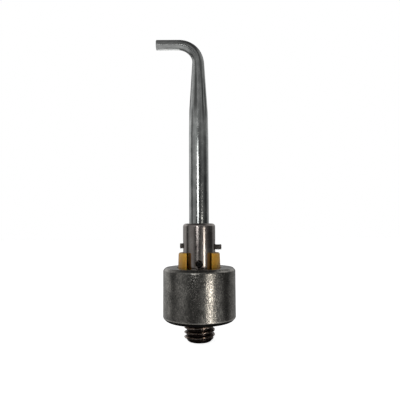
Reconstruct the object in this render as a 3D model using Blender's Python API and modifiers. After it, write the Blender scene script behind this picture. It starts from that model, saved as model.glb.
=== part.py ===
"""Flame sensor probe: a bent rod in a clamp collar, insulated from a round base with a threaded stud.

Frame: metres, +Z up along the rod. The origin is on the stud's axis, in the plane of the base's underside,
which is the face that seats when the stud is screwed home. The rod's bent tip points along -X.
"""

import math

import bmesh
import bpy
from mathutils import Vector

MM = 0.001

# Driving dimensions, in millimetres. Heights are above the seating plane.
GAP = 0.3  # between pieces that rest on each other
RUNNING_GAP = 0.15  # between a round piece and its bore, 0.3 on the diameter
TIP_GAP = 0.05  # between a tight set screw's point and what it holds

BASE_RADIUS = 11.8
BASE_HEIGHT = 17.0
BASE_TOP_CHAMFER = 0.85
BASE_FOOT_CHAMFER = 1.05

STUD_RADIUS = 4.95  # M10 x 1.5
STUD_PITCH = 1.5
THREAD_DEPTH = 0.6134 * STUD_PITCH
STUD_CREST_HEIGHT = -2.95  # of one thread crest, on the stud's +X side
STUD_LENGTH = 10.0
STUD_REACH = 6.6  # how far it stands out of the base
STUD_POINT_RADIUS = 3.5
STUD_SOCKET_FLATS = 5.0
STUD_SOCKET_DEPTH = 4.0

ROD_RADIUS = 3.25  # 6.5 mm bar
ROD_BOTTOM = 19.9
ROD_DRAW_START = 60.0  # full radius up to here
ROD_TAPER_START = 69.0
ROD_TAPER_START_RADIUS = 3.15  # the bar is already drawn down a little here
ROD_BEND_RADIUS = 6.7
ROD_NECK_RADIUS = 1.98  # where the bend starts
ROD_TIP_RADIUS = 1.62
ROD_ARM_HEIGHT = 92.35
ROD_ARM_REACH = 14.4  # from the rod's axis to the tip

COLLAR_RADIUS = 5.3
COLLAR_TOP = 31.2
COLLAR_TOP_ROUND = 1.0
COLLAR_BORE = ROD_RADIUS + RUNNING_GAP

EAR_HEIGHT = 4.75  # of the insulator above the base
INSULATOR_RADIUS = 6.95
EAR_TOP_RADIUS = 6.75
EAR_TOP_ROUND = 0.55
SLOT_WIDTH = 7.9
SLOT_DEPTH_IN_BASE = 0.7

WEB_THICKNESS = 2.0
COUNTERBORE_DEPTH = 4.2
CAVITY_RADIUS = 4.25  # below the web, the stud's tapping drill
INSULATOR_FLOOR = 1.45
SPIGOT_RADIUS = 2.7  # of the insulator, through the web
POST_FLANGE_RADIUS = 4.8
POST_FLANGE = 0.9
POST_SHANK_RADIUS = 1.5  # M3
POST_TOP = 19.6
POST_GROOVE_RADIUS = 2.85  # at the bottom of the groove that the lock screws bear in

SCREW_RADIUS = 0.98  # M2
SCREW_HOLE_RADIUS = SCREW_RADIUS + RUNNING_GAP
SCREW_SOCKET_FLATS = 0.9
LEFT_SCREW_HEIGHT = 23.9
RIGHT_SCREW_HEIGHT = 23.5
LOCK_SCREW_HEIGHT = 18.2
LEFT_SCREW_LENGTH = 3.0
RIGHT_SCREW_LENGTH = 4.0
LOCK_SCREW_LENGTH = 2.0

INSULATING_WASHER = 1.0
INSULATING_WASHER_RADIUS = 4.0
FLAT_WASHER = 0.5
FLAT_WASHER_RADIUS = 3.5
SPRING_WASHER = 0.8
SPRING_WASHER_RADIUS = 3.1
WASHER_EDGE = 0.1
NUT_FLATS = 5.5
NUT_HEIGHT = 2.4
INSULATING_DISC = 0.6

# Levels that follow from the sizes above, from the web downwards and upwards.
WEB_TOP = BASE_HEIGHT - COUNTERBORE_DEPTH
WEB_BOTTOM = WEB_TOP - WEB_THICKNESS
FLOOR_BOTTOM = WEB_TOP + GAP
FLOOR_TOP = FLOOR_BOTTOM + INSULATOR_FLOOR
FLANGE_BOTTOM = FLOOR_TOP + GAP
FLANGE_TOP = FLANGE_BOTTOM + POST_FLANGE
COLLAR_BOTTOM = FLANGE_TOP + GAP
STUD_TOP = STUD_LENGTH - STUD_REACH
DISC_TOP = STUD_TOP + GAP + INSULATING_DISC
SHANK_END = DISC_TOP + GAP

TURNED_STEPS = 48
SMALL_STEPS = 24


# ---------------------------------------------------------------- scene and materials


def empty_the_scene():
    for obj in list(bpy.data.objects):
        bpy.data.objects.remove(obj)


def collection(name):
    made = bpy.data.collections.new(name)
    bpy.context.scene.collection.children.link(made)
    return made


def material(name, colour, roughness, metallic):
    made = bpy.data.materials.new(name)
    made.use_nodes = True
    shader = made.node_tree.nodes["Principled BSDF"]
    shader.inputs["Base Color"].default_value = (*colour, 1.0)
    shader.inputs["Roughness"].default_value = roughness
    shader.inputs["Metallic"].default_value = metallic
    made.diffuse_color = (*colour, 1.0)
    return made


empty_the_scene()
PARTS = collection("flame_sensor_probe")
CUTTERS = collection("cutters")

ZINC_ROD = material("zinc_plated_rod", (0.50, 0.52, 0.51), 0.28, 1.0)
TURNED_STEEL = material("turned_steel", (0.46, 0.43, 0.41), 0.22, 1.0)
BASE_METAL = material("tumbled_base_metal", (0.40, 0.40, 0.39), 0.42, 1.0)
STUD_STEEL = material("brown_stud_steel", (0.20, 0.16, 0.15), 0.38, 1.0)
BLACK_OXIDE = material("black_oxide", (0.05, 0.05, 0.05), 0.45, 1.0)
AMBER_INSULATOR = material("amber_insulator", (0.58, 0.34, 0.07), 0.40, 0.0)
BRIGHT_STEEL = material("bright_fastener_steel", (0.56, 0.56, 0.55), 0.30, 1.0)


# ---------------------------------------------------------------- modelling helpers


def add_object(name, data, finish, into=None):
    obj = bpy.data.objects.new(name, data)
    (into or PARTS).objects.link(obj)
    if finish:
        data.materials.append(finish)
    return obj


def as_cutter(obj):
    """Hides a helper that only shapes another piece."""
    obj.hide_render = True
    obj.display_type = "WIRE"
    return obj


def shade_round(mesh):
    mesh.shade_smooth()
    mesh.set_sharp_from_angle(angle=math.radians(35))


def outline_mesh(name, outline, closed):
    """A profile in the XZ plane, from (radius, height) pairs in millimetres."""
    points = [(r * MM, 0.0, z * MM) for r, z in outline]
    edges = [(i, i + 1) for i in range(len(points) - 1)]
    if closed:
        edges.append((len(points) - 1, 0))
    mesh = bpy.data.meshes.new(name)
    mesh.from_pydata(points, edges, [])
    return mesh


def spin_modifier(obj, steps, turns=1, rise=0.0):
    spin = obj.modifiers.new("turned", "SCREW")
    spin.axis = "Z"
    spin.angle = math.tau
    spin.steps = steps
    spin.render_steps = steps
    spin.iterations = turns
    spin.screw_offset = rise * MM
    spin.use_merge_vertices = True
    spin.merge_threshold = 0.000001
    return spin


def turned(name, outline, finish, steps=TURNED_STEPS, into=None):
    """A lathe-turned solid. Its outline starts and ends on the axis, or closes on itself round a bore."""
    closed = outline[0][0] > 0
    obj = add_object(name, outline_mesh(name, outline, closed), finish, into)
    spin_modifier(obj, steps)
    return obj


def baked(obj):
    """The object with its modifiers applied, shaded round."""
    graph = bpy.context.evaluated_depsgraph_get()
    mesh = bpy.data.meshes.new_from_object(obj.evaluated_get(graph))
    obj.modifiers.clear()
    obj.data = mesh
    shade_round(mesh)
    return obj


def cut(obj, tool, operation="DIFFERENCE"):
    boolean = obj.modifiers.new(tool.name, "BOOLEAN")
    boolean.operation = operation
    boolean.object = as_cutter(tool)
    boolean.solver = "EXACT"


def hex_prism(name, flats, low, high):
    """A six-sided cutter along Z, from low to high."""
    bpy.ops.mesh.primitive_cylinder_add(
        vertices=6,
        radius=flats / math.sqrt(3) * MM,
        depth=(high - low) * MM,
        location=(0, 0, (low + high) / 2 * MM),
    )
    obj = bpy.context.object
    obj.name = name
    move_to(obj, CUTTERS)
    return obj


def box(name, low, high):
    """A square-cornered cutter between two corners."""
    low, high = Vector(low), Vector(high)
    bpy.ops.mesh.primitive_cube_add(size=1, location=(low + high) / 2 * MM)
    obj = bpy.context.object
    obj.name = name
    obj.scale = (high - low) * MM
    bpy.ops.object.transform_apply(location=False, rotation=False, scale=True)
    move_to(obj, CUTTERS)
    return obj


def move_to(obj, where):
    for old in list(obj.users_collection):
        old.objects.unlink(obj)
    where.objects.link(obj)


def arc(centre_r, centre_z, radius, start_deg, end_deg, count=5):
    """Outline points on a quarter round, with angles measured from +X towards +Z."""
    angles = [start_deg + (end_deg - start_deg) * i / (count - 1) for i in range(count)]
    return [
        (
            centre_r + radius * math.cos(math.radians(a)),
            centre_z + radius * math.sin(math.radians(a)),
        )
        for a in angles
    ]


def washer_outline(outer, inner, low, high):
    """A flat washer's outline, or a disc's where inner is 0, with broken outer edges."""
    return [
        (inner, high),
        (outer - WASHER_EDGE, high),
        (outer, high - WASHER_EDGE),
        (outer, low + WASHER_EDGE),
        (outer - WASHER_EDGE, low),
        (inner, low),
    ]


def point_outwards(obj, direction, height):
    """Puts a piece that was made along +Z on a horizontal axis through the rod's centre line."""
    obj.rotation_mode = "QUATERNION"
    obj.rotation_quaternion = Vector(direction).to_track_quat("Z", "Y")
    obj.location = (0, 0, height * MM)


# ---------------------------------------------------------------- base and stud


def make_base():
    """The round body: a counterbore for the insulator, a web with a hole, and the stud's hole below."""
    top, radius = BASE_HEIGHT, BASE_RADIUS
    recess = INSULATOR_RADIUS + GAP
    web_hole = SPIGOT_RADIUS + GAP
    stud_hole = STUD_RADIUS + RUNNING_GAP
    mouth = 0.4
    outline = [
        (recess, top),
        (radius - BASE_TOP_CHAMFER, top),
        (radius, top - BASE_TOP_CHAMFER),
        (radius, BASE_FOOT_CHAMFER),
        (radius - BASE_FOOT_CHAMFER, 0),
        (stud_hole + mouth, 0),
        (stud_hole, mouth),
        (stud_hole, STUD_TOP + GAP),
        (CAVITY_RADIUS, STUD_TOP + GAP),
        (CAVITY_RADIUS, WEB_BOTTOM),
        (web_hole, WEB_BOTTOM),
        (web_hole, WEB_TOP),
        (recess, WEB_TOP),
    ]
    return baked(turned("base_body", outline, BASE_METAL, 64))


def thread_coil(root):
    """One turn's profile swept along the helix: a closed threaded bar, longer than the stud at both ends."""
    crest_half, root_half = 0.07 * STUD_PITCH, 0.10 * STUD_PITCH
    outline = [
        (root, STUD_PITCH / 2),
        (root, STUD_PITCH / 2 - root_half),
        (STUD_RADIUS, crest_half),
        (STUD_RADIUS, -crest_half),
        (root, root_half - STUD_PITCH / 2),
        (root, -STUD_PITCH / 2),
    ]
    turns_below = 4
    turns = math.ceil(STUD_LENGTH / STUD_PITCH) + 3
    coil = add_object("thread_coil", outline_mesh("thread_coil", outline, False), None, CUTTERS)
    spin_modifier(coil, 32, turns, STUD_PITCH)
    baked(coil)
    mesh = bmesh.new()
    mesh.from_mesh(coil.data)
    bmesh.ops.remove_doubles(mesh, verts=mesh.verts, dist=0.000001)
    bmesh.ops.holes_fill(mesh, edges=[e for e in mesh.edges if e.is_boundary])
    bmesh.ops.recalc_face_normals(mesh, faces=mesh.faces)
    mesh.to_mesh(coil.data)
    mesh.free()
    coil.location.z = (STUD_CREST_HEIGHT - turns_below * STUD_PITCH) * MM
    return coil


def make_stud():
    """An M10 set screw used as the mounting stud: flat point outwards, hexagon socket inside the base."""
    low, high = -STUD_REACH, STUD_TOP
    lead_in = 0.9
    over = 0.4
    point_drop = STUD_RADIUS - STUD_POINT_RADIUS
    outline = [
        (0, high),
        (STUD_RADIUS - lead_in, high),
        (STUD_RADIUS + over, high - lead_in - over),
        (STUD_RADIUS + over, low + point_drop + over),
        (STUD_POINT_RADIUS, low),
        (0, low),
    ]
    stud = turned("mounting_stud", outline, STUD_STEEL, 32)
    cut(stud, thread_coil(STUD_RADIUS - THREAD_DEPTH), "INTERSECT")
    socket = hex_prism("stud_socket", STUD_SOCKET_FLATS, high - STUD_SOCKET_DEPTH, high + 1)
    cut(stud, socket)
    return baked(stud)


# ---------------------------------------------------------------- insulated feed-through


def make_insulator():
    """The amber bush: a cup in the base, a spigot through its web, and two ears beside the collar."""
    ear_top = BASE_HEIGHT + EAR_HEIGHT
    bore = COLLAR_RADIUS + GAP
    spigot_bore = POST_SHANK_RADIUS + RUNNING_GAP
    mouth = 0.2
    outline = [
        (bore + mouth, ear_top),
        *arc(EAR_TOP_RADIUS - EAR_TOP_ROUND, ear_top - EAR_TOP_ROUND, EAR_TOP_ROUND, 90, 0),
        (INSULATOR_RADIUS, BASE_HEIGHT),
        (INSULATOR_RADIUS, FLOOR_BOTTOM),
        (SPIGOT_RADIUS, FLOOR_BOTTOM),
        (SPIGOT_RADIUS, WEB_BOTTOM + GAP),
        (spigot_bore, WEB_BOTTOM + GAP),
        (spigot_bore, FLOOR_TOP),
        (bore, FLOOR_TOP),
        (bore, ear_top - mouth),
    ]
    bush = turned("slotted_insulator", outline, AMBER_INSULATOR)
    half = SLOT_WIDTH / 2
    slot = box(
        "insulator_slot",
        (-half, -2 * BASE_RADIUS, BASE_HEIGHT - SLOT_DEPTH_IN_BASE),
        (half, 2 * BASE_RADIUS, ear_top + 2),
    )
    cut(bush, slot)
    return baked(bush)


def make_post():
    """The live post: a flange on the insulator, a grooved journal, and an M3 shank for the nut."""
    edge = 0.35
    groove_half = SCREW_RADIUS + 0.17
    groove_slope = ROD_RADIUS - POST_GROOVE_RADIUS
    outline = [
        (0, POST_TOP),
        (ROD_RADIUS - edge / 2, POST_TOP),
        (ROD_RADIUS, POST_TOP - edge / 2),
        (ROD_RADIUS, LOCK_SCREW_HEIGHT + groove_half),
        (POST_GROOVE_RADIUS, LOCK_SCREW_HEIGHT + groove_half - groove_slope),
        (POST_GROOVE_RADIUS, LOCK_SCREW_HEIGHT - groove_half + groove_slope),
        (ROD_RADIUS, LOCK_SCREW_HEIGHT - groove_half),
        (ROD_RADIUS, FLANGE_TOP),
        (POST_FLANGE_RADIUS, FLANGE_TOP),
        (POST_FLANGE_RADIUS, FLANGE_BOTTOM),
        (POST_SHANK_RADIUS, FLANGE_BOTTOM),
        (POST_SHANK_RADIUS, SHANK_END + edge),
        (POST_SHANK_RADIUS - edge, SHANK_END),
        (0, SHANK_END),
    ]
    return baked(turned("electrode_post", outline, TURNED_STEEL))


def make_shank_stack():
    """What clamps the post under the web: insulating washer, flat washer, split spring washer and M3 nut."""
    bore = POST_SHANK_RADIUS + RUNNING_GAP
    top = WEB_BOTTOM - GAP
    outline = washer_outline(INSULATING_WASHER_RADIUS, bore, top - INSULATING_WASHER, top)
    baked(turned("insulating_washer", outline, AMBER_INSULATOR))
    top -= INSULATING_WASHER + GAP
    outline = washer_outline(FLAT_WASHER_RADIUS, bore, top - FLAT_WASHER, top)
    baked(turned("flat_washer", outline, BRIGHT_STEEL))
    top -= FLAT_WASHER + GAP
    make_spring_washer(bore, top - SPRING_WASHER, top)
    top -= SPRING_WASHER + GAP
    make_nut(bore, top - NUT_HEIGHT, top)


def make_spring_washer(bore, low, high):
    """A washer split by a slanting cut."""
    outer = SPRING_WASHER_RADIUS
    washer = turned("spring_washer", washer_outline(outer, bore, low, high), BRIGHT_STEEL)
    half_split, clear = 0.25, 2.0
    split = box("washer_split", (-half_split, 0, -clear), (half_split, 2 * outer, clear))
    split.location.z = (low + high) / 2 * MM
    split.rotation_euler.y = math.radians(20)
    cut(washer, split)
    return baked(washer)


def make_nut(bore, low, high):
    """A hexagon nut with its corners turned off at 30 degrees on both faces."""
    corner = NUT_FLATS / math.sqrt(3)
    face_radius = 0.48 * NUT_FLATS
    over = 1.0
    drop = (corner + over - face_radius) * math.tan(math.radians(30))
    nut = hex_prism("lock_nut", NUT_FLATS, low, high)
    move_to(nut, PARTS)
    nut.data.name = "lock_nut"
    nut.data.materials.append(BRIGHT_STEEL)
    crown_outline = [
        (0, high),
        (face_radius, high),
        (corner + over, high - drop),
        (corner + over, low + drop),
        (face_radius, low),
        (0, low),
    ]
    crown = turned("nut_crown", crown_outline, None, SMALL_STEPS, CUTTERS)
    cut(nut, crown, "INTERSECT")
    hole_outline = [(0, high + over), (bore, high + over), (bore, low - over), (0, low - over)]
    hole = turned("nut_bore", hole_outline, None, SMALL_STEPS, CUTTERS)
    cut(nut, hole)
    baked(nut)
    nut.data.transform(nut.matrix_basis)
    nut.matrix_basis.identity()
    return nut


def make_insulating_disc():
    """A disc on the stud's inner end, which keeps the live shank off the stud."""
    outline = washer_outline(CAVITY_RADIUS - RUNNING_GAP, 0, DISC_TOP - INSULATING_DISC, DISC_TOP)
    return baked(turned("insulating_disc", outline, AMBER_INSULATOR))


# ---------------------------------------------------------------- collar, rod and set screws


def screw_hole(name, direction, height, into):
    """A tapped hole through one wall of the collar, countersunk a little at its mouth."""
    mouth = 0.2
    outside = COLLAR_RADIUS + 1
    inside = 1.0
    outline = [
        (0, outside),
        (SCREW_HOLE_RADIUS + mouth + 1, outside),
        (SCREW_HOLE_RADIUS, COLLAR_RADIUS - mouth),
        (SCREW_HOLE_RADIUS, inside),
        (0, inside),
    ]
    tool = turned(name, outline, None, SMALL_STEPS, CUTTERS)
    point_outwards(tool, direction, height)
    cut(into, tool)


def make_collar():
    top, radius = COLLAR_TOP, COLLAR_RADIUS
    mouth, foot = 0.25, 0.3
    outline = [
        (COLLAR_BORE + mouth, top),
        *arc(radius - COLLAR_TOP_ROUND, top - COLLAR_TOP_ROUND, COLLAR_TOP_ROUND, 90, 0, 6),
        (radius, COLLAR_BOTTOM + foot),
        (radius - foot, COLLAR_BOTTOM),
        (COLLAR_BORE + mouth, COLLAR_BOTTOM),
        (COLLAR_BORE, COLLAR_BOTTOM + mouth),
        (COLLAR_BORE, top - mouth),
    ]
    collar = turned("clamp_collar", outline, TURNED_STEEL)
    screw_hole("hole_left", (-1, 0, 0), LEFT_SCREW_HEIGHT, collar)
    screw_hole("hole_right", (1, 0, 0), RIGHT_SCREW_HEIGHT, collar)
    screw_hole("hole_front", (0, -1, 0), LOCK_SCREW_HEIGHT, collar)
    screw_hole("hole_rear", (0, 1, 0), LOCK_SCREW_HEIGHT, collar)
    return baked(collar)


def make_set_screw(name, direction, height, tip_distance, length):
    """An M2 cup-point set screw, made along +Z, with its origin on the rod's centre line."""
    low, high = tip_distance, tip_distance + length
    edge, cup = 0.2, 0.5
    outline = [
        (0, high),
        (SCREW_RADIUS - edge, high),
        (SCREW_RADIUS, high - edge),
        (SCREW_RADIUS, low + 0.4),
        (cup + 0.1, low),
        (cup, low),
        (0, low + 0.3),
    ]
    screw = turned(name, outline, BLACK_OXIDE, SMALL_STEPS)
    socket_depth = min(1.0, 0.45 * length)
    cut(screw, hex_prism(name + "_socket", SCREW_SOCKET_FLATS, high - socket_depth, high + 1))
    baked(screw)
    point_outwards(screw, direction, height)
    return screw


def rod_stations():
    """Points on the rod's centre line with the radius there: bar, drawn taper, bend and arm."""
    bend_bottom = ROD_ARM_HEIGHT - ROD_BEND_RADIUS
    chamfer = 0.35
    yield 0, ROD_BOTTOM, ROD_RADIUS - chamfer
    yield 0, ROD_BOTTOM + chamfer, ROD_RADIUS
    yield 0, ROD_DRAW_START, ROD_RADIUS
    yield 0, ROD_TAPER_START, ROD_TAPER_START_RADIUS
    yield 0, bend_bottom, ROD_NECK_RADIUS
    bend_steps = 12
    for step in range(1, bend_steps + 1):
        share = step / bend_steps
        angle = share * math.pi / 2
        radius = ROD_TIP_RADIUS + (ROD_NECK_RADIUS - ROD_TIP_RADIUS) * (1 - share) ** 1.5
        yield (
            -ROD_BEND_RADIUS * (1 - math.cos(angle)),
            bend_bottom + ROD_BEND_RADIUS * math.sin(angle),
            radius,
        )
    edge = 0.2
    yield -ROD_ARM_REACH + edge, ROD_ARM_HEIGHT, ROD_TIP_RADIUS
    yield -ROD_ARM_REACH, ROD_ARM_HEIGHT, ROD_TIP_RADIUS - edge


def make_rod():
    path = bpy.data.curves.new("sensing_rod", "CURVE")
    path.dimensions = "3D"
    path.bevel_depth = 1 * MM
    path.bevel_resolution = 12
    path.use_fill_caps = True
    stations = list(rod_stations())
    line = path.splines.new("POLY")
    line.points.add(len(stations) - 1)
    for point, (x, z, radius) in zip(line.points, stations):
        point.co = (x * MM, 0, z * MM, 1)
        point.radius = radius
    return add_object("sensing_rod", path, ZINC_ROD)


def hang_on(name, children):
    """An empty at the rod's centre line, on the axis that its children turn about."""
    empty = bpy.data.objects.new(name, None)
    PARTS.objects.link(empty)
    for child in children:
        child.parent = empty


def main():
    make_base()
    make_stud()
    make_insulator()
    make_post()
    make_shank_stack()
    make_insulating_disc()
    collar = make_collar()
    rod = make_rod()
    on_rod = ROD_RADIUS + TIP_GAP
    on_post = POST_GROOVE_RADIUS + TIP_GAP
    screws = [
        make_set_screw("left_clamp_screw", (-1, 0, 0), LEFT_SCREW_HEIGHT, on_rod, LEFT_SCREW_LENGTH),
        make_set_screw("right_clamp_screw", (1, 0, 0), RIGHT_SCREW_HEIGHT, on_rod, RIGHT_SCREW_LENGTH),
        make_set_screw("front_lock_screw", (0, -1, 0), LOCK_SCREW_HEIGHT, on_post, LOCK_SCREW_LENGTH),
        make_set_screw("rear_lock_screw", (0, 1, 0), LOCK_SCREW_HEIGHT, on_post, LOCK_SCREW_LENGTH),
    ]
    hang_on("collar_turn", [collar, rod, *screws])


main()
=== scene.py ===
"""The looks of a flame sensor probe: each visible piece is modelled again, finely, round the frame."""

import math

import bmesh
import bpy
from mathutils import Matrix, Vector


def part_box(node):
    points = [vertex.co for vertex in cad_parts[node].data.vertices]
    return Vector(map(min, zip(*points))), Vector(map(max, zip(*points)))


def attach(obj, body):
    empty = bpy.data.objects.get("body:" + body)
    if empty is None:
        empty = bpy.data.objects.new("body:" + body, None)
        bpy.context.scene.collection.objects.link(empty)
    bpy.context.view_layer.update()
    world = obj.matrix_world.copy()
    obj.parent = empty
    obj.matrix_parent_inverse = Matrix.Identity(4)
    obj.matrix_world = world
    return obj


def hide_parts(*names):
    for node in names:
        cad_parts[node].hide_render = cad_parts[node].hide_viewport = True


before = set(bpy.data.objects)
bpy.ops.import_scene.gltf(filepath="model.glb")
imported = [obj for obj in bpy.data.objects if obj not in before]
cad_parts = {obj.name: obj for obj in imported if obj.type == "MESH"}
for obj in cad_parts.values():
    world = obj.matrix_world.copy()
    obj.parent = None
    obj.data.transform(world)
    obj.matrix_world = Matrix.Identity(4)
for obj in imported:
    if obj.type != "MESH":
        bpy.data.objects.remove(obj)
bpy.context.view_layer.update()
MM = 0.001


# ------------------------------------------------------------------ base body
# A heavy round steel base, turned from bar with a chamfer at each end and then tumbled, so that its edges
# are soft and its skin is dull, pitted and scuffed all over. A counterbore in its top takes the insulator,
# and a tapped hole in its underside takes the mounting stud.

base_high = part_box("base_body")[1]
insulator_low, insulator_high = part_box("slotted_insulator")
stud_low, stud_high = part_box("mounting_stud")

STEP_GAP = 0.3 * MM  # between pieces that sit one in the other
base_radius = base_high.x
base_top = base_high.z
recess_radius = insulator_high.x + STEP_GAP
stud_radius = stud_high.y
stud_hole_radius = stud_radius + STEP_GAP / 2
stud_hole_top = stud_high.z + STEP_GAP
CAVITY_RADIUS = 4.25 * MM
WEB = 2.0 * MM
web_bottom = insulator_low.z - STEP_GAP
web_top = web_bottom + WEB
SPIGOT_HOLE_RADIUS = 3.0 * MM
TOP_CHAMFER = 0.85 * MM
FOOT_CHAMFER = 1.05 * MM
wall_low = FOOT_CHAMFER
wall_high = base_top - TOP_CHAMFER
WALL_RINGS = 26


def unselect():
    if bpy.context.object and bpy.context.object.mode != "OBJECT":
        bpy.ops.object.mode_set(mode="OBJECT")
    bpy.ops.object.select_all(action="DESELECT")


def pick(obj):
    """Selects just this object."""
    unselect()
    bpy.context.view_layer.objects.active = obj
    obj.select_set(True)


def select_edges(obj, wanted):
    """Selects just the edges for which wanted(edge) is true. The object is in edit mode."""
    bpy.ops.mesh.select_mode(type="EDGE")
    bpy.ops.mesh.select_all(action="DESELECT")
    mesh = bmesh.from_edit_mesh(obj.data)
    for edge in mesh.edges:
        edge.select_set(wanted(edge))
    bmesh.update_edit_mesh(obj.data)


def first_ring(name, radius, height, sides, filled=True):
    """Adds a circle across the Z axis and leaves it in edit mode, selected, ready to be pulled along."""
    unselect()
    bpy.ops.mesh.primitive_circle_add(
        vertices=sides, radius=radius, fill_type="NGON" if filled else "NOTHING", location=(0, 0, height),
    )
    obj = bpy.context.object
    obj.name = obj.data.name = name
    bpy.ops.object.transform_apply(location=True, rotation=False, scale=False)
    bpy.ops.object.mode_set(mode="EDIT")
    bpy.ops.mesh.select_mode(type="EDGE")
    bpy.ops.mesh.select_all(action="SELECT")
    return obj


def pull_ring(move, growth, centre):
    """Extrudes the selected ring and resizes it about its new centre."""
    bpy.ops.mesh.extrude_edges_move(TRANSFORM_OT_translate={"value": move})
    bpy.ops.transform.resize(value=(growth, growth, growth), center_override=centre)


def lathe(name, stations, sides, bored=False):
    """Pulls a turned piece ring by ring through (radius, height) stations. A bored one closes on itself."""
    radius, height = stations[0]
    obj = first_ring(name, radius, height, sides, filled=not bored)
    for next_radius, next_height in stations[1:]:
        pull_ring((0, 0, next_height - height), next_radius / radius, (0, 0, next_height))
        radius, height = next_radius, next_height
    if bored:
        select_edges(obj, lambda edge: edge.is_boundary)
        bpy.ops.mesh.bridge_edge_loops()
    else:
        bpy.ops.mesh.edge_face_add()
    return obj


def straight(radius, start, end, rings):
    """Stations along a straight wall, close together so that its skin can be dented and shades evenly."""
    return [(radius, start + (end - start) * i / rings) for i in range(rings + 1)]


def about(value, wanted):
    """Whether two lengths are the same to a hundredth of a millimetre."""
    return abs(value - wanted) < 0.01 * MM


def round_ring(obj, radius, height, width, segments):
    """Rounds the edge of a turned piece that runs round it at this radius and height."""

    def on_ring(vertex):
        return about(vertex.co.z, height) and about(math.hypot(vertex.co.x, vertex.co.y), radius)

    select_edges(obj, lambda edge: all(on_ring(vertex) for vertex in edge.verts))
    bpy.ops.mesh.bevel(offset=width, segments=segments, affect="EDGES")


def shade(obj, smooth_angle=35):
    """Shades the round stretches smooth, and keeps edges sharper than the angle."""
    pick(obj)
    bpy.ops.object.shade_smooth_by_angle(angle=math.radians(smooth_angle))


def close_up(obj, smooth_angle=35):
    """Merges doubles, turns the faces outwards, leaves edit mode and shades the piece."""
    bpy.ops.mesh.select_all(action="SELECT")
    bpy.ops.mesh.remove_doubles(threshold=0.0005 * MM)
    bpy.ops.mesh.normals_make_consistent(inside=False)
    # A closed thread can come out of that inside out, and its volume is then below zero.
    if bmesh.from_edit_mesh(obj.data).calc_volume(signed=True) < 0:
        bpy.ops.mesh.flip_normals()
    bpy.ops.object.mode_set(mode="OBJECT")
    shade(obj, smooth_angle)
    return obj


def apply_modifier(obj, kind, **settings):
    """Adds a modifier with these settings and applies it."""
    pick(obj)
    modifier = obj.modifiers.new(kind.lower(), kind)
    for name, value in settings.items():
        setattr(modifier, name, value)
    bpy.ops.object.modifier_apply(modifier=modifier.name)


def dent(obj, size, depth):
    """Sinks soft dents of about this size into the skin."""
    clouds = bpy.data.textures.new(obj.name + "_dents", "CLOUDS")
    clouds.noise_scale = size
    clouds.noise_depth = 2
    apply_modifier(obj, "DISPLACE", texture=clouds, texture_coords="LOCAL", strength=depth, mid_level=1.0)
    bpy.data.textures.remove(clouds)


# The wall and the end faces have rings between their edges, for the dents to show on.
base = lathe(
    "base",
    [
        (recess_radius, web_top),
        (recess_radius, base_top),
        (recess_radius + 1.0 * MM, base_top),
        (recess_radius + 2.0 * MM, base_top),
        (base_radius - TOP_CHAMFER, base_top),
        *straight(base_radius, wall_high, wall_low, WALL_RINGS),
        (base_radius - FOOT_CHAMFER, 0),
        (base_radius - 3.0 * MM, 0),
        (stud_hole_radius + 1.2 * MM, 0),
        (stud_hole_radius, 0),
        (stud_hole_radius, stud_hole_top),
        (CAVITY_RADIUS, stud_hole_top),
        (CAVITY_RADIUS, web_bottom),
        (SPIGOT_HOLE_RADIUS, web_bottom),
        (SPIGOT_HOLE_RADIUS, web_top),
    ],
    sides=192,
    bored=True,
)
round_ring(base, base_radius - TOP_CHAMFER, base_top, 0.3 * MM, segments=4)
round_ring(base, base_radius, wall_high, 0.25 * MM, segments=4)
round_ring(base, base_radius, wall_low, 0.3 * MM, segments=4)
round_ring(base, base_radius - FOOT_CHAMFER, 0, 0.5 * MM, segments=4)
round_ring(base, recess_radius, base_top, 0.2 * MM, segments=3)
round_ring(base, stud_hole_radius, 0, 0.4 * MM, segments=2)
close_up(base)
dent(base, 2.4 * MM, 0.035 * MM)
dent(base, 0.7 * MM, 0.02 * MM)
shade(base)


class Wire:
    """An output socket in a node tree, so that shader maths on values reads as Python."""

    def __init__(self, nodes, socket):
        self.nodes = nodes
        self.socket = socket

    def maths(self, operation, *values):
        return self.nodes.add("Math", values, operation=operation)

    def __add__(self, other):
        return self.maths("ADD", self, other)

    def __radd__(self, other):
        return self.maths("ADD", other, self)

    def __sub__(self, other):
        return self.maths("SUBTRACT", self, other)

    def __rsub__(self, other):
        return self.maths("SUBTRACT", other, self)

    def __mul__(self, other):
        return self.maths("MULTIPLY", self, other)

    def __rmul__(self, other):
        return self.maths("MULTIPLY", other, self)

    def rise(self, low, high):
        """0 where the value is at low, 1 at high, and a smooth rise between. High may be below low."""
        values = (self, low, high, 0.0, 1.0)
        return self.nodes.add("MapRange", values, interpolation_type="SMOOTHSTEP")

    def band(self, low, low_full, high_full, high):
        """1 between the two full values, and a smooth fall to 0 at low and at high."""
        return self.rise(low, low_full) * self.rise(high, high_full)


class Nodes:
    """A node tree that is filled from code."""

    def __init__(self, tree):
        self.tree = tree

    def add(self, kind, values=(), output=0, **settings):
        """Adds a node: its settings first, then its inputs, in order or by name. Returns one output."""
        made = self.tree.nodes.new("ShaderNode" + kind)
        for name, value in settings.items():
            setattr(made, name, value)
        named = values.items() if isinstance(values, dict) else enumerate(values)
        for name, value in named:
            self.put(value, made.inputs[name])
        return Wire(self, made.outputs[output])

    def put(self, value, socket):
        """Links a wire to a socket, or sets the socket's own value."""
        if isinstance(value, Wire):
            self.tree.links.new(value.socket, socket)
        elif socket.type == "RGBA":
            socket.default_value = (*value, 1.0)
        else:
            socket.default_value = value

    def mix(self, share, low, high):
        """A colour between two, by a share from 0 to 1."""
        return self.add("Mix", {0: share, 6: low, 7: high}, output=2, data_type="RGBA")


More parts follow.
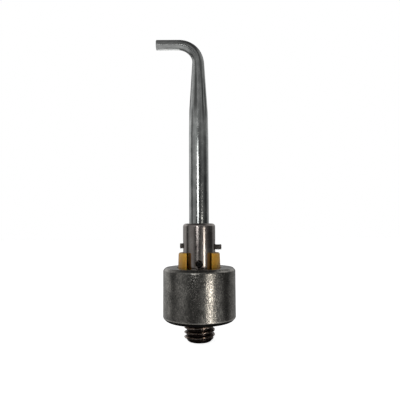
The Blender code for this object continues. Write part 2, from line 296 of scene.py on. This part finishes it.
class Finish(Nodes):
    """A material in the making. Patterns read Object coordinates, in cells sized in millimetres."""

    def __init__(self, name, **constants):
        self.material = bpy.data.materials.new(name)
        self.material.use_nodes = True
        super().__init__(self.material.node_tree)
        self.shader = self.tree.nodes["Principled BSDF"]
        self.feed(**constants)
        self.place = self.add("TexCoord", output=3)

    def feed(self, **sockets):
        """Sets or links sockets of the shader, such as Base_Color."""
        for name, value in sockets.items():
            self.put(value, self.shader.inputs[name.replace("_", " ")])

    def cells(self, x, y=None, z=None):
        """Coordinates in cells of these sizes in millimetres along X, Y and Z, or of one size."""
        sizes = (x, y or x, z or x)
        return self.add("Mapping", {"Vector": self.place, "Scale": [1 / (size * MM) for size in sizes]})

    def grain(self, cells, detail=3.0, roughness=0.55):
        """A noise between 0 and 1, mostly within 0.3 and 0.7."""
        return self.add(
            "TexNoise", {"Vector": cells, "Scale": 1.0, "Detail": detail, "Roughness": roughness},
        )

    def crowd(self, cells):
        """The distance to the nearest of a crowd of scattered points, one to a cell."""
        return self.add("TexVoronoi", {"Vector": cells, "Scale": 1.0})

    def part_of_place(self, axis):
        """The X, Y or Z coordinate in millimetres."""
        split = self.add("SeparateXYZ", (self.place,), output="XYZ".index(axis))
        return split * (1 / MM)

    def relief(self, height, depth, over=None):
        """A bumped normal: a height of 1 stands depth millimetres proud, over another relief if given."""
        values = {"Strength": 1.0, "Distance": depth * MM, "Height": height}
        if over:
            values["Normal"] = over
        return self.add("Bump", values)

    def coat(self, *objects):
        """Gives the finish to objects, in place of what they have."""
        for obj in objects:
            obj.data.materials.clear()
            obj.data.materials.append(self.material)


# Tumbling leaves bright speckles, drag marks and pits. Both chamfers have a rubbed edge. The lower chamfer
# and the underside are painted near black as shade.
wall_foot_mm = wall_low / MM
wall_head_mm = wall_high / MM
tumbled = Finish("tumbled_steel", Metallic=1.0)
blotches = tumbled.grain(tumbled.cells(3.5), detail=5, roughness=0.6).rise(0.33, 0.68)
speckle = tumbled.grain(tumbled.cells(0.36, 0.36, 0.55), detail=4, roughness=0.7).rise(0.30, 0.70)
drag = tumbled.grain(tumbled.cells(0.28, 0.28, 7.0), detail=3, roughness=0.6).rise(0.60, 0.74)
pits = tumbled.crowd(tumbled.cells(0.9)).rise(0.14, 0.03)
level_mm = tumbled.part_of_place("Z")
# Painted shade: the foot chamfer and the underside are darkened towards near black, and made rougher.
painted_foot_shade = level_mm.rise(wall_foot_mm + 0.10, wall_foot_mm - 0.20)
head_edge = level_mm.band(
    wall_head_mm - 0.05, wall_head_mm + 0.15, wall_head_mm + 0.35, wall_head_mm + 0.55,
)
foot_edge = level_mm.band(
    wall_foot_mm - 0.05, wall_foot_mm + 0.10, wall_foot_mm + 0.25, wall_foot_mm + 0.65,
)
worn_edge = head_edge * 0.4 + foot_edge
wear = speckle * 0.52 + blotches * 0.30 + drag * 0.30 + worn_edge * 0.25 - pits * 0.3
bright = wear.rise(-0.1, 1.15)
clean_steel = tumbled.mix(bright, (0.112, 0.111, 0.103), (0.66, 0.63, 0.58))
tumbled.feed(
    Base_Color=tumbled.mix(painted_foot_shade, clean_steel, (0.045, 0.042, 0.040)),
    Roughness=0.19 - bright * 0.04 + pits * 0.2 + painted_foot_shade * 0.15,
    Normal=tumbled.relief(
        speckle * 0.8 + blotches * 0.2 - pits * 0.3 - drag * 0.2, 0.017,
        over=tumbled.relief(tumbled.grain(tumbled.cells(1.3, 1.3, 12.0), detail=3), 0.03),
    ),
)
tumbled.coat(base)
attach(base, "base")
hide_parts("base_body")


# ------------------------------------------------------------------ mounting stud
# An M10 set screw with a flat point, screwed into the base and locked there. It is rolled, blackened steel,
# and its thread crests are rubbed bright.

THREAD_DEPTH = 0.6134  # of the pitch, for an external metric thread
STUD_PITCH = 1.5 * MM
STUD_CREST = -2.95 * MM  # height of one crest on the +X side
STUD_POINT_RADIUS = 3.5 * MM
STUD_LEAD_IN = 0.9 * MM
STUD_KEY = 5.0 * MM  # across the flats of its socket
STUD_SOCKET_DEPTH = 4.0 * MM
STUD_OVERSIZE = 0.4 * MM  # of the blank, past the thread


def thread_outline(name, radius, pitch, crest):
    """One pitch of a thread's outline in the XZ plane, from the middle of one root to that of the next."""
    root = radius - THREAD_DEPTH * pitch
    shoulder = radius - 0.04 * pitch
    outline = [
        (root, -0.5), (root, -0.42), (shoulder, -0.09), (radius, -0.05),
        (radius, 0.05), (shoulder, 0.09), (root, 0.42), (root, 0.5),
    ]
    unselect()
    bpy.ops.mesh.primitive_circle_add(vertices=len(outline), radius=radius)
    obj = bpy.context.object
    obj.name = obj.data.name = name
    bpy.ops.object.mode_set(mode="EDIT")
    mesh = bmesh.from_edit_mesh(obj.data)
    mesh.verts.ensure_lookup_table()
    for vertex, (across, along) in zip(mesh.verts, outline):
        vertex.co = (across, 0, crest + along * pitch)
    ends = {mesh.verts[0], mesh.verts[len(outline) - 1]}
    select_edges(obj, lambda edge: set(edge.verts) == ends)
    bpy.ops.mesh.delete(type="EDGE")
    bpy.ops.object.mode_set(mode="OBJECT")
    return obj


def threaded_bar(name, radius, pitch, crest, low, high, steps):
    """A bar with a right-hand thread, longer than low to high at both ends, and closed there."""
    below = math.ceil((crest - low) / pitch) + 1
    turns = below + math.ceil((high - crest) / pitch) + 1
    bar = thread_outline(name, radius, pitch, crest - below * pitch)
    apply_modifier(
        bar, "SCREW", axis="Z", angle=math.tau, screw_offset=pitch, iterations=turns, steps=steps,
        render_steps=steps, use_merge_vertices=True, merge_threshold=0.0001 * MM,
    )
    bpy.ops.object.mode_set(mode="EDIT")
    bpy.ops.mesh.select_all(action="SELECT")
    bpy.ops.mesh.remove_doubles(threshold=0.0005 * MM)
    select_edges(bar, lambda edge: edge.is_boundary)
    bpy.ops.mesh.edge_face_add()
    return close_up(bar, smooth_angle=45)


def blank(radius, point_radius, lead_in, low, high, oversize, sides):
    """A screw before its thread is cut: chamfered at both ends, and oversize between them."""
    return lathe(
        "blank",
        [
            (point_radius, low),
            (radius + oversize, low + (radius - point_radius) + oversize),
            (radius + oversize, high - lead_in - oversize),
            (radius - lead_in, high),
        ],
        sides=sides,
    )


def hexagon_bit(flats, low, high):
    """A six-sided key's shape along Z, with a drilled point at its lower end."""
    corner = flats / math.sqrt(3)
    stations = [(corner * 0.05, low - corner * 0.5), (corner, low), (corner, high)]
    return close_up(lathe("key", stations, sides=6))


def trim(obj, tool, operation):
    """Cuts an object by another, which is then thrown away."""
    apply_modifier(obj, "BOOLEAN", operation=operation, object=tool, solver="MANIFOLD")
    bpy.data.objects.remove(tool)


stud = threaded_bar("stud", stud_radius, STUD_PITCH, STUD_CREST, stud_low.z, stud_high.z, steps=72)
stud_blank = blank(
    stud_radius, STUD_POINT_RADIUS, STUD_LEAD_IN, stud_low.z, stud_high.z, STUD_OVERSIZE, sides=96,
)
round_ring(stud_blank, STUD_POINT_RADIUS, stud_low.z, 0.3 * MM, segments=4)
trim(stud, close_up(stud_blank), "INTERSECT")
trim(stud, hexagon_bit(STUD_KEY, stud_high.z - STUD_SOCKET_DEPTH, stud_high.z + 1.0 * MM), "DIFFERENCE")
shade(stud, 40)

# The black has worn off the crests, which stand furthest from the stud's axis.
blackened = Finish("blackened_thread", Metallic=1.0)
across_mm = blackened.add("VectorMath", (blackened.place, (1 / MM, 1 / MM, 0.0)), operation="MULTIPLY")
from_axis_mm = blackened.add("VectorMath", (across_mm,), output=1, operation="LENGTH")
scuff = blackened.grain(blackened.cells(0.5), detail=4, roughness=0.65)
crests = from_axis_mm.rise(4.35, 4.90) * 0.9 + scuff.rise(0.45, 0.75) * 0.45
rubbed = (crests * scuff.rise(0.30, 0.55)).rise(0.1, 1.0)
blackened.feed(
    Base_Color=blackened.mix(rubbed, (0.060, 0.044, 0.038), (0.80, 0.68, 0.60)),
    Roughness=0.22 - rubbed * 0.06 + scuff * 0.08,
    Normal=blackened.relief(blackened.grain(blackened.cells(0.22), detail=3), 0.012),
)
blackened.coat(stud)
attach(stud, "base")
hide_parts("mounting_stud")


# ------------------------------------------------------------------ slotted insulator
# A moulded amber plastic bush, held down in the base by the post's flange. Its rim stands above the base as
# two ears, with a slot right through between them for the key that turns the lock screws.

collar_low, collar_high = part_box("clamp_collar")
collar_radius = collar_high.y
ear_bore = collar_radius + STEP_GAP
ear_foot_radius = insulator_high.x
ear_top = insulator_high.z
EAR_LEAN = 0.2 * MM
ear_top_radius = ear_foot_radius - EAR_LEAN
SLOT_HALF = 3.95 * MM
slot_floor = base_top - 0.7 * MM
FLOOR_THICKNESS = 1.45 * MM
bush_floor = web_top + STEP_GAP
spigot_radius = SPIGOT_HOLE_RADIUS - STEP_GAP
SPIGOT_BORE = 1.65 * MM
CUTTER_LENGTH = 20 * MM
CUTTER_HEIGHT = 10 * MM

bush = lathe(
    "insulator",
    [
        (ear_bore, bush_floor + FLOOR_THICKNESS),
        (ear_bore, ear_top),
        (ear_top_radius, ear_top),
        (ear_foot_radius, slot_floor - STEP_GAP),
        (ear_foot_radius, bush_floor),
        (spigot_radius, bush_floor),
        (spigot_radius, insulator_low.z),
        (SPIGOT_BORE, insulator_low.z),
        (SPIGOT_BORE, bush_floor + FLOOR_THICKNESS),
    ],
    sides=140,
    bored=True,
)
round_ring(bush, ear_top_radius, ear_top, 0.55 * MM, segments=6)
close_up(bush)
bpy.ops.mesh.primitive_cube_add(size=1.0, location=(0, 0, slot_floor + CUTTER_HEIGHT / 2))
slot_cutter = bpy.context.object
slot_cutter.scale = (2 * SLOT_HALF, CUTTER_LENGTH, CUTTER_HEIGHT)
bpy.ops.object.transform_apply()
trim(bush, slot_cutter, "DIFFERENCE")
apply_modifier(
    bush, "BEVEL", width=0.08 * MM, segments=2, limit_method="ANGLE", angle_limit=math.radians(60),
)
shade(bush, 50)

amber = Finish("amber_plastic", Metallic=0.0, IOR=1.58, Subsurface_Weight=0.12, Subsurface_Scale=1.0 * MM)
cloud = amber.grain(amber.cells(2.5, 2.5, 4.0), detail=3).rise(0.3, 0.7)
dust = amber.grain(amber.cells(0.25), detail=2).rise(0.6, 0.8)
amber.feed(
    Base_Color=amber.mix(cloud, (0.40, 0.195, 0.012), (0.50, 0.265, 0.024)),
    Roughness=0.38 + dust * 0.18 - cloud * 0.06,
    Normal=amber.relief(amber.grain(amber.cells(0.18), detail=3), 0.006),
)
amber.coat(bush, *(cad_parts[name] for name in ("insulating_washer", "insulating_disc")))
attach(bush, "base")
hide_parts("slotted_insulator")


# ------------------------------------------------------------------ post and its fixings
# Inside the base: a turned steel post that carries the collar, and the zinc-plated washers and nut that
# hold it down. None of it shows from outside, so the frame's own solids stay, with a turned and a plated
# finish.

turned = Finish("turned_steel", Metallic=1.0)
tool_lines = turned.grain(turned.cells(60, 60, 0.09), detail=2, roughness=0.7)
tool_steps = turned.grain(turned.cells(60, 60, 0.5), detail=2)
smear = turned.grain(turned.cells(2.2, 2.2, 3.5), detail=4, roughness=0.6).rise(0.35, 0.7)
nicks = turned.grain(turned.cells(0.40, 0.40, 0.25), detail=3).rise(0.62, 0.76)
turned.feed(
    Base_Color=turned.mix(smear, (0.37, 0.33, 0.31), (0.47, 0.44, 0.415)),
    Roughness=0.15 + smear * 0.05 + tool_steps.rise(0.4, 0.7) * 0.06 + nicks * 0.12,
    Normal=turned.relief(
        tool_lines * 0.6 + tool_steps * 0.4 - nicks * 0.25, 0.005,
        over=turned.relief(turned.grain(turned.cells(1.6, 1.6, 2.4), detail=2), 0.005),
    ),
)
turned.coat(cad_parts["electrode_post"])

plated = Finish("zinc_plate", Metallic=1.0)
sparkle = plated.grain(plated.cells(0.3), detail=3).rise(0.35, 0.65)
plated.feed(
    Base_Color=plated.mix(sparkle, (0.50, 0.50, 0.49), (0.62, 0.62, 0.60)),
    Roughness=0.26 + sparkle * 0.12,
    Normal=plated.relief(sparkle, 0.004),
)
plated.coat(*(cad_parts[name] for name in ("flat_washer", "spring_washer", "lock_nut")))


# ------------------------------------------------------------------ clamp collar
# A sleeve turned from steel bar, drilled and tapped from four sides: two holes high up for the clamp screws
# that grip the rod, and two at the foot for the lock screws that grip the post.

rod_low, rod_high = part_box("sensing_rod")
rod_radius = rod_high.y
collar_bore = rod_radius + STEP_GAP / 2
collar_top = collar_high.z
collar_foot = collar_low.z
COLLAR_ROUND = 1.0 * MM
sleeve_high = collar_top - COLLAR_ROUND - 0.2 * MM
sleeve_low = collar_foot + 0.5 * MM
SLEEVE_RINGS = 24
SCREW_RADIUS = 0.98 * MM
screw_hole_radius = SCREW_RADIUS + STEP_GAP / 2
HOLE_MOUTH = 0.22 * MM  # width of the broken edge round a hole
BIT_OVERRUN = 1.0 * MM
OUTWARDS = {
    "left_clamp_screw": (-1, 0, 0),
    "right_clamp_screw": (1, 0, 0),
    "front_lock_screw": (0, -1, 0),
    "rear_lock_screw": (0, 1, 0),
}


def height_of(node):
    """The height of a screw's axis."""
    low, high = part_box(node)
    return (low.z + high.z) / 2


def turn_outwards(obj, direction, height):
    """Lays a piece made along Z on a level axis through the collar, and keeps its place in its mesh."""
    laid_down = Vector(direction).to_track_quat("Z", "Y").to_matrix().to_4x4()
    obj.data.transform(Matrix.Translation((0, 0, height)) @ laid_down)


collar = lathe(
    "collar",
    [
        (collar_bore, collar_foot),
        (collar_bore, collar_top),
        (collar_radius, collar_top),
        *straight(collar_radius, sleeve_high, sleeve_low, SLEEVE_RINGS),
        (collar_radius, collar_foot),
    ],
    sides=190,
    bored=True,
)
round_ring(collar, collar_radius, collar_top, COLLAR_ROUND, segments=8)
round_ring(collar, collar_bore, collar_top, 0.25 * MM, segments=2)
round_ring(collar, collar_radius, collar_foot, 0.3 * MM, segments=2)
round_ring(collar, collar_bore, collar_foot, 0.25 * MM, segments=2)
close_up(collar)
for node, direction in OUTWARDS.items():
    bit = lathe(
        "bit",
        [
            (screw_hole_radius, BIT_OVERRUN),
            (screw_hole_radius, collar_radius - HOLE_MOUTH),
            (screw_hole_radius + HOLE_MOUTH + BIT_OVERRUN, collar_radius + BIT_OVERRUN),
        ],
        sides=44,
    )
    close_up(bit)
    turn_outwards(bit, direction, height_of(node))
    trim(collar, bit, "DIFFERENCE")
shade(collar)
turned.coat(collar)
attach(collar, "collar")
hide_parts("clamp_collar")


# ------------------------------------------------------------------ set screws
# M2 cup point set screws in black oxide, each with a hexagon socket in its outer end. The two that clamp
# the rod stand out of the collar, and the two that lock the collar to the post sit just inside it.

SCREW_PITCH = 0.4 * MM
SCREW_KEY = 0.9 * MM  # across the flats of its socket
SCREW_LEAD_IN = 0.22 * MM
SCREW_POINT_RADIUS = SCREW_RADIUS - 0.45 * MM
SCREW_OVERSIZE = 0.1 * MM
SOCKET_SHARE = 0.45  # of the screw's length
CUP_RADIUS = 0.62 * MM
CUP_DEPTH = 0.3 * MM


def set_screw(name, tip, length):
    """A threaded set screw along Z, from its cup point at tip outwards."""
    end = tip + length
    screw = threaded_bar(name, SCREW_RADIUS, SCREW_PITCH, tip, tip, end, steps=32)
    screw_blank = blank(
        SCREW_RADIUS, SCREW_POINT_RADIUS, SCREW_LEAD_IN, tip, end, SCREW_OVERSIZE, sides=48,
    )
    trim(screw, close_up(screw_blank), "INTERSECT")
    cup = lathe("cup", [(0.01 * MM, tip + CUP_DEPTH), (CUP_RADIUS, tip - 0.1 * MM)], sides=32)
    trim(screw, close_up(cup), "DIFFERENCE")
    trim(screw, hexagon_bit(SCREW_KEY, end - SOCKET_SHARE * length, end + 0.5 * MM), "DIFFERENCE")
    shade(screw, 40)
    return screw


def same_again(obj, name):
    """A copy with its own mesh."""
    copy = obj.copy()
    copy.data = obj.data.copy()
    copy.name = copy.data.name = name
    bpy.context.scene.collection.objects.link(copy)
    return copy


def reach_of(node):
    """How far from the rod's axis a screw's point and its outer face are."""
    low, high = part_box(node)
    axis = 0 if OUTWARDS[node][0] else 1
    return sorted((abs(low[axis]), abs(high[axis])))


# The ends that stand out of the collar are rubbed and a little bright, and the lock screws just inside it
# are kept near black as painted shade of their holes.
collar_skin_mm = collar_radius / MM
black_oxide = Finish("black_oxide", Metallic=0.7)
rub = black_oxide.grain(black_oxide.cells(0.28), detail=4, roughness=0.65)
sideways_mm = black_oxide.part_of_place("X")
# Partly real rubbing, partly painted shade: screws inside the collar keep the near-black of a shaded hole.
right_wear_and_hole_shade = sideways_mm.rise(collar_skin_mm - 1.7, collar_skin_mm - 0.1)
left_wear_and_hole_shade = sideways_mm.rise(1.7 - collar_skin_mm, 0.1 - collar_skin_mm)
wear_and_hole_shade = right_wear_and_hole_shade + left_wear_and_hole_shade
oxide_wear_and_hole_shade = rub.rise(0.50, 0.72) * 0.35 + wear_and_hole_shade * (0.30 + rub.rise(0.35, 0.65) * 0.35)
black_oxide.feed(
    Base_Color=black_oxide.mix(oxide_wear_and_hole_shade, (0.010, 0.009, 0.009), (0.34, 0.31, 0.29)),
    Roughness=0.52 - oxide_wear_and_hole_shade * 0.12,
    Normal=black_oxide.relief(rub, 0.012),
)
screws = {}
for node, direction in OUTWARDS.items():
    if node == "rear_lock_screw":
        screws[node] = same_again(screws["front_lock_screw"], "rear_lock")
        screws[node].data.transform(Matrix.Rotation(math.pi, 4, "Z"))
    else:
        tip, end = reach_of(node)
        screws[node] = set_screw(node.replace("_screw", ""), tip, end - tip)
        turn_outwards(screws[node], direction, height_of(node))
    black_oxide.coat(screws[node])
    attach(screws[node], node.split("_")[0] + "_screw")
    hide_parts(node)


# ------------------------------------------------------------------ sensing rod
# Bright drawn steel bar. Its upper part is hammered down on a former to a thin neck, which leaves long
# shallow flats. The neck is bent over at a right angle, and the flats, a little twisted by the bending, run
# on along the arm.

TAPER_START = 60.0 * MM
TAPER_KNEE = 69.0 * MM
KNEE_RADIUS = 3.2 * MM
NECK_RADIUS = 2.12 * MM
ARM_RADIUS = 1.70 * MM
BEND_RADIUS = 6.7 * MM
ROD_FOOT_CHAMFER = 0.35 * MM
FLATS = 8
FLATS_DEPTH = 0.7
FLATS_RUN_IN = 12 * MM  # from the taper's start to flats of full depth
FIRST_CORNER = math.radians(-121)  # from the outside of the bend, on the taper
CORNER_TWIST = math.radians(15)  # from the taper to the arm
arm_height = rod_high.z - ARM_RADIUS
bend_bottom = arm_height - BEND_RADIUS
bend_centre = Vector((-BEND_RADIUS, 0, bend_bottom))
bend_length = BEND_RADIUS * math.pi / 2
arm_tip = rod_low.x
foot_top = rod_low.z + ROD_FOOT_CHAMFER
ROD_SIDES = 128
BAR_RINGS = 30
TAPER_RINGS = 44
BEND_RINGS = 28
ARM_RINGS = 14


def taper_radius(height):
    """The bar's radius above the taper's start: a slight draw at first, then straight down to the neck."""
    if height < TAPER_KNEE:
        share = (height - TAPER_START) / (TAPER_KNEE - TAPER_START)
        return rod_radius + (KNEE_RADIUS - rod_radius) * share * share
    share = (height - TAPER_KNEE) / (bend_bottom - TAPER_KNEE)
    return KNEE_RADIUS + (NECK_RADIUS - KNEE_RADIUS) * share


def hammered(angle, depth, corner):
    """How far out the skin lies at an angle round the bar, as a share of its radius.

    The depth is 0 for round bar and 1 for full flats, and one of the flats starts at the corner.
    """
    flat_angle = math.tau / FLATS
    off_centre = (angle - corner) % flat_angle - flat_angle / 2
    flat = math.cos(flat_angle / 2) / math.cos(off_centre)
    return 1 - FLATS_DEPTH * depth * (1 - flat)


def share_between(value, start, end):
    """0 up to start, 1 from end on, and straight between."""
    return min(max((value - start) / (end - start), 0), 1)


rod = first_ring("rod", rod_radius - ROD_FOOT_CHAMFER, rod_low.z, ROD_SIDES)
pull_ring((0, 0, ROD_FOOT_CHAMFER), rod_radius / (rod_radius - ROD_FOOT_CHAMFER), (0, 0, foot_top))
height = foot_top
bar_step = (TAPER_START - rod_low.z - ROD_FOOT_CHAMFER) / BAR_RINGS
for i in range(BAR_RINGS):
    height += bar_step
    pull_ring((0, 0, bar_step), 1, (0, 0, height))
radius = rod_radius
taper_step = (bend_bottom - TAPER_START) / TAPER_RINGS
for i in range(TAPER_RINGS):
    height += taper_step
    pull_ring((0, 0, taper_step), taper_radius(height) / radius, (0, 0, height))
    radius = taper_radius(height)
for i in range(BEND_RINGS):
    turn = math.pi / 2 * (i + 1) / BEND_RINGS
    ring_height = bend_bottom + BEND_RADIUS * math.sin(turn)
    ring_centre = Vector((BEND_RADIUS * (math.cos(turn) - 1), 0, ring_height))
    next_radius = ARM_RADIUS + (NECK_RADIUS - ARM_RADIUS) * (1 - (i + 1) / BEND_RINGS) ** 1.5
    bpy.ops.mesh.extrude_edges_move(TRANSFORM_OT_translate={"value": (0, 0, 0)})
    bpy.ops.transform.rotate(
        value=math.pi / 2 / BEND_RINGS, orient_axis="Y", center_override=bend_centre,
    )
    growth = next_radius / radius
    bpy.ops.transform.resize(value=(growth, growth, growth), center_override=ring_centre)
    radius = next_radius
arm_step = (-BEND_RADIUS - arm_tip) / ARM_RINGS
for i in range(ARM_RINGS):
    arm_x = -BEND_RADIUS - arm_step * (i + 1)
    pull_ring((-arm_step, 0, 0), 1, (arm_x, 0, arm_height))
bpy.ops.mesh.edge_face_add()
select_edges(rod, lambda edge: all(about(vertex.co.x, arm_tip) for vertex in edge.verts))
bpy.ops.mesh.bevel(offset=0.22 * MM, segments=4, affect="EDGES")
close_up(rod, smooth_angle=40)

# Each point moves in to its flat, and keeps its place on the straight bar for the finish to follow.
unbent = rod.data.attributes.new("unbent", "FLOAT_VECTOR", "POINT")
for vertex in rod.data.vertices:
    x, y, z = vertex.co
    if x < -BEND_RADIUS:
        middle = Vector((x, 0, arm_height))
        outwards = Vector((0, 0, 1))
        along = bend_bottom + bend_length - BEND_RADIUS - x
    elif z > bend_bottom:
        turn = math.atan2(z - bend_bottom, x + BEND_RADIUS)
        outwards = Vector((math.cos(turn), 0, math.sin(turn)))
        middle = bend_centre + outwards * BEND_RADIUS
        along = bend_bottom + BEND_RADIUS * turn
    else:
        middle = Vector((0, 0, z))
        outwards = Vector((1, 0, 0))
        along = z
    spoke = vertex.co - middle
    angle = math.atan2(spoke.y, spoke.dot(outwards))
    unbent.data[vertex.index].vector = (rod_radius * math.cos(angle), rod_radius * math.sin(angle), along)
    depth = share_between(along, TAPER_START, TAPER_START + FLATS_RUN_IN)
    bent = share_between(along, bend_bottom, bend_bottom + bend_length)
    vertex.co = middle + spoke * hammered(angle, depth, FIRST_CORNER + CORNER_TWIST * bent)
shade(rod, 40)

# Drawing leaves fine streaks. Up the hammered taper the colour is painted darker as shade, a little overall
# and much more in long lines. The arm is duller and smoother.
taper_start_mm = TAPER_START / MM
arm_start_mm = (bend_bottom + bend_length) / MM
drawn = Finish("drawn_steel", Metallic=1.0)
drawn.place = drawn.add("Attribute", output=1, attribute_name="unbent")
streaks = drawn.grain(drawn.cells(0.30, 0.30, 16.0), detail=4, roughness=0.6).rise(0.3, 0.7)
lines = drawn.grain(drawn.cells(0.85, 0.85, 60.0), detail=2, roughness=0.5)
bloom = drawn.grain(drawn.cells(1.6, 1.6, 3.0), detail=4, roughness=0.65).rise(0.35, 0.68)
fleck = drawn.grain(drawn.cells(0.32), detail=3, roughness=0.6).rise(0.58, 0.74)
along_mm = drawn.part_of_place("Z")
worked = along_mm.rise(taper_start_mm + 2.0, taper_start_mm + 12.0)
arm = along_mm.rise(arm_start_mm - 1.5, arm_start_mm + 1.5)
calm = 1 - along_mm.rise(arm_start_mm - 9.0, arm_start_mm - 4.0) * 0.8
# Painted shade: dark lines, and a slightly darker steel, up the taper and on into the bend and arm.
painted_taper_shade = lines.rise(0.50, 0.40) * worked * (1 - arm * 0.8)
clean = drawn.mix(bloom, (0.42, 0.44, 0.43), (0.60, 0.615, 0.60))
worked_shade_steel = drawn.mix(bloom, (0.42, 0.43, 0.425), (0.58, 0.59, 0.58))
drawn.feed(
    Base_Color=drawn.mix(painted_taper_shade * 0.85, drawn.mix(worked, clean, worked_shade_steel), (0.09, 0.095, 0.09)),
    Roughness=0.13 + bloom * 0.06 + fleck * 0.12 + worked * 0.05 + arm * 0.09,
    Normal=drawn.relief(
        (streaks * 0.6 - fleck * (0.5 - worked * 0.45)) * calm, 0.005,
        over=drawn.relief(lines * worked * calm, 0.08, over=drawn.relief(bloom * calm, 0.008)),
    ),
)
drawn.coat(rod)
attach(rod, "rod")
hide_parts("sensing_rod")


# ------------------------------------------------------------------ studio
# A pale floor that runs off to white, a dark disc under the stud that shows only in reflections and stands
# in for the shade under the base (painted shade), a surround with soft patches of light, and four area
# lights. The camera stands close in front, level with the upper part of the collar, and looks slightly up.

FLOOR_SIZE = 3.0
FLOOR_DROP = 0.02 * MM  # below the stud
SHADE_DISC_DROP = 0.5 * MM
SHADE_DISC_RADIUS = 22 * MM
WHITE = (1.0, 1.0, 1.0)
BLACK = (0.0, 0.0, 0.0)
SOFTBOX_DISTANCE = 0.6  # metres, from the collar's middle
PATCHES = (  # azimuth, elevation, inner and outer radius in degrees, then strength
    (-58, 3, 7, 31, 0.27),
    (-30, 18, 5, 18, 0.28),
    (45, 6, 4, 26, 0.08),
    (20, -13, 4, 17, 0.25),
    (-88, -22, 8, 18, 0.12),
    (62, -22, 10, 19, 0.40),
    (98, 38, 10, 26, 0.28),
)

unselect()
bpy.ops.mesh.primitive_plane_add(size=FLOOR_SIZE, location=(0, 0, stud_low.z - FLOOR_DROP))
floor = bpy.context.object
floor.name = "floor"
paper = Finish("white_paper", Roughness=0.9, Emission_Color=WHITE, Emission_Strength=0.85)
fibre = paper.grain(paper.cells(30), detail=3)
paper.feed(Base_Color=paper.mix(fibre, (0.86, 0.86, 0.86), (0.90, 0.90, 0.90)))
paper.coat(floor)
floor.visible_glossy = False
floor.visible_shadow = False

# Painted shade: a black disc, seen only in reflections, darkens what the foot and the stud mirror below
# them.
bpy.ops.mesh.primitive_circle_add(
    vertices=96, radius=SHADE_DISC_RADIUS, fill_type="NGON", location=(0, 0, stud_low.z - SHADE_DISC_DROP),
)
shade_disc = bpy.context.object
shade_disc.name = "shade_disc"
shade_disc_finish = Finish("painted_shade_black", Roughness=1.0)
shade_disc_finish.feed(Base_Color=shade_disc_finish.mix(shade_disc_finish.grain(shade_disc_finish.cells(1.0)), (0.010, 0.010, 0.010), (0.022, 0.021, 0.020)))
shade_disc_finish.coat(shade_disc)
shade_disc.visible_camera = False
shade_disc.visible_diffuse = False
shade_disc.visible_shadow = False


def bearing(azimuth, elevation):
    """The direction at these degrees: 0, 0 is towards the camera, and azimuth turns to its right."""
    round_about = math.radians(azimuth)
    up = math.radians(elevation)
    level = math.cos(up)
    return Vector((math.sin(round_about) * level, -math.cos(round_about) * level, math.sin(up)))


world = bpy.data.worlds.new("studio")
world.use_nodes = True
bpy.context.scene.world = world
sky = Nodes(world.node_tree)
ray = sky.add("TexCoord", output=0)
rightwards, away, upwards = (sky.add("SeparateXYZ", (ray,), output=axis) for axis in range(3))
far_side = (away - rightwards * 0.05).rise(0.17, 0.36) * upwards.band(-0.6, -0.3, 0.42, 0.65)
backdrop = far_side * (1 - away.rise(0.85, 0.98) * 0.45)
ceiling = upwards.band(0.10, 0.36, 0.70, 0.97)
room = 0.04 + ceiling * 0.17 + upwards.rise(-0.26, -0.55) * 0.46
room = room + backdrop * (0.29 - rightwards * 0.13 + upwards.rise(0.0, 0.15) * 0.14)
for azimuth, elevation, inner, outer, strength in PATCHES:
    facing = sky.add("VectorMath", (ray, bearing(azimuth, elevation)), output=1, operation="DOT_PRODUCT")
    patch = facing.rise(math.cos(math.radians(outer)), math.cos(math.radians(inner)))
    room = room + patch * strength
seen = sky.add("LightPath", output=0)
surround = sky.mix(seen, sky.mix(room, BLACK, WHITE), WHITE)
sky.put(surround, world.node_tree.nodes["Background"].inputs["Color"])


def softbox(name, azimuth, elevation, width, height, radiance, colour=WHITE):
    """A rectangular light that faces the collar, at a bearing from it. Its sizes are in metres."""
    outwards = bearing(azimuth, elevation)
    light = bpy.data.lights.new(name, "AREA")
    light.shape = "RECTANGLE"
    light.size = width
    light.size_y = height
    light.energy = radiance * math.pi * width * height
    light.color = colour
    obj = bpy.data.objects.new(name, light)
    bpy.context.scene.collection.objects.link(obj)
    obj.location = Vector((0, 0, (collar_foot + collar_top) / 2)) + outwards * SOFTBOX_DISTANCE
    obj.rotation_euler = outwards.to_track_quat("Z", "Y").to_euler()
    obj.visible_camera = False
    return obj


softbox("window", -12, 7.9, 0.135, 0.144, 4.2)
softbox("key", 36, -10.0, 0.080, 0.240, 6.0, colour=(1.0, 0.95, 0.88))
softbox("rear_window", 180, -24, 0.14, 0.20, 2.2)
fill = softbox("fill", -20, 35, 0.8, 0.6, 0.9)
fill.visible_glossy = False

CAMERA_DISTANCE = 132.8 * MM  # to the rod's axis
CAMERA_AIM = Vector((0.35 * MM, 0, 39.0 * MM))
CAMERA_PITCH = math.radians(4.57)  # looking up
CAMERA_ROLL = math.radians(-0.3)
bpy.ops.object.camera_add()
camera = bpy.context.object
camera.data.sensor_width = 36
camera.data.lens = 36
camera.data.clip_start = 5 * MM
ahead = Vector((0, math.cos(CAMERA_PITCH), math.sin(CAMERA_PITCH)))
camera.location = CAMERA_AIM - ahead * CAMERA_DISTANCE
pitched = Matrix.Rotation(math.pi / 2 + CAMERA_PITCH, 4, "X")
camera.rotation_euler = (pitched @ Matrix.Rotation(CAMERA_ROLL, 4, "Z")).to_euler()
bpy.context.scene.camera = camera
bpy.context.scene.view_settings.view_transform = "Standard"
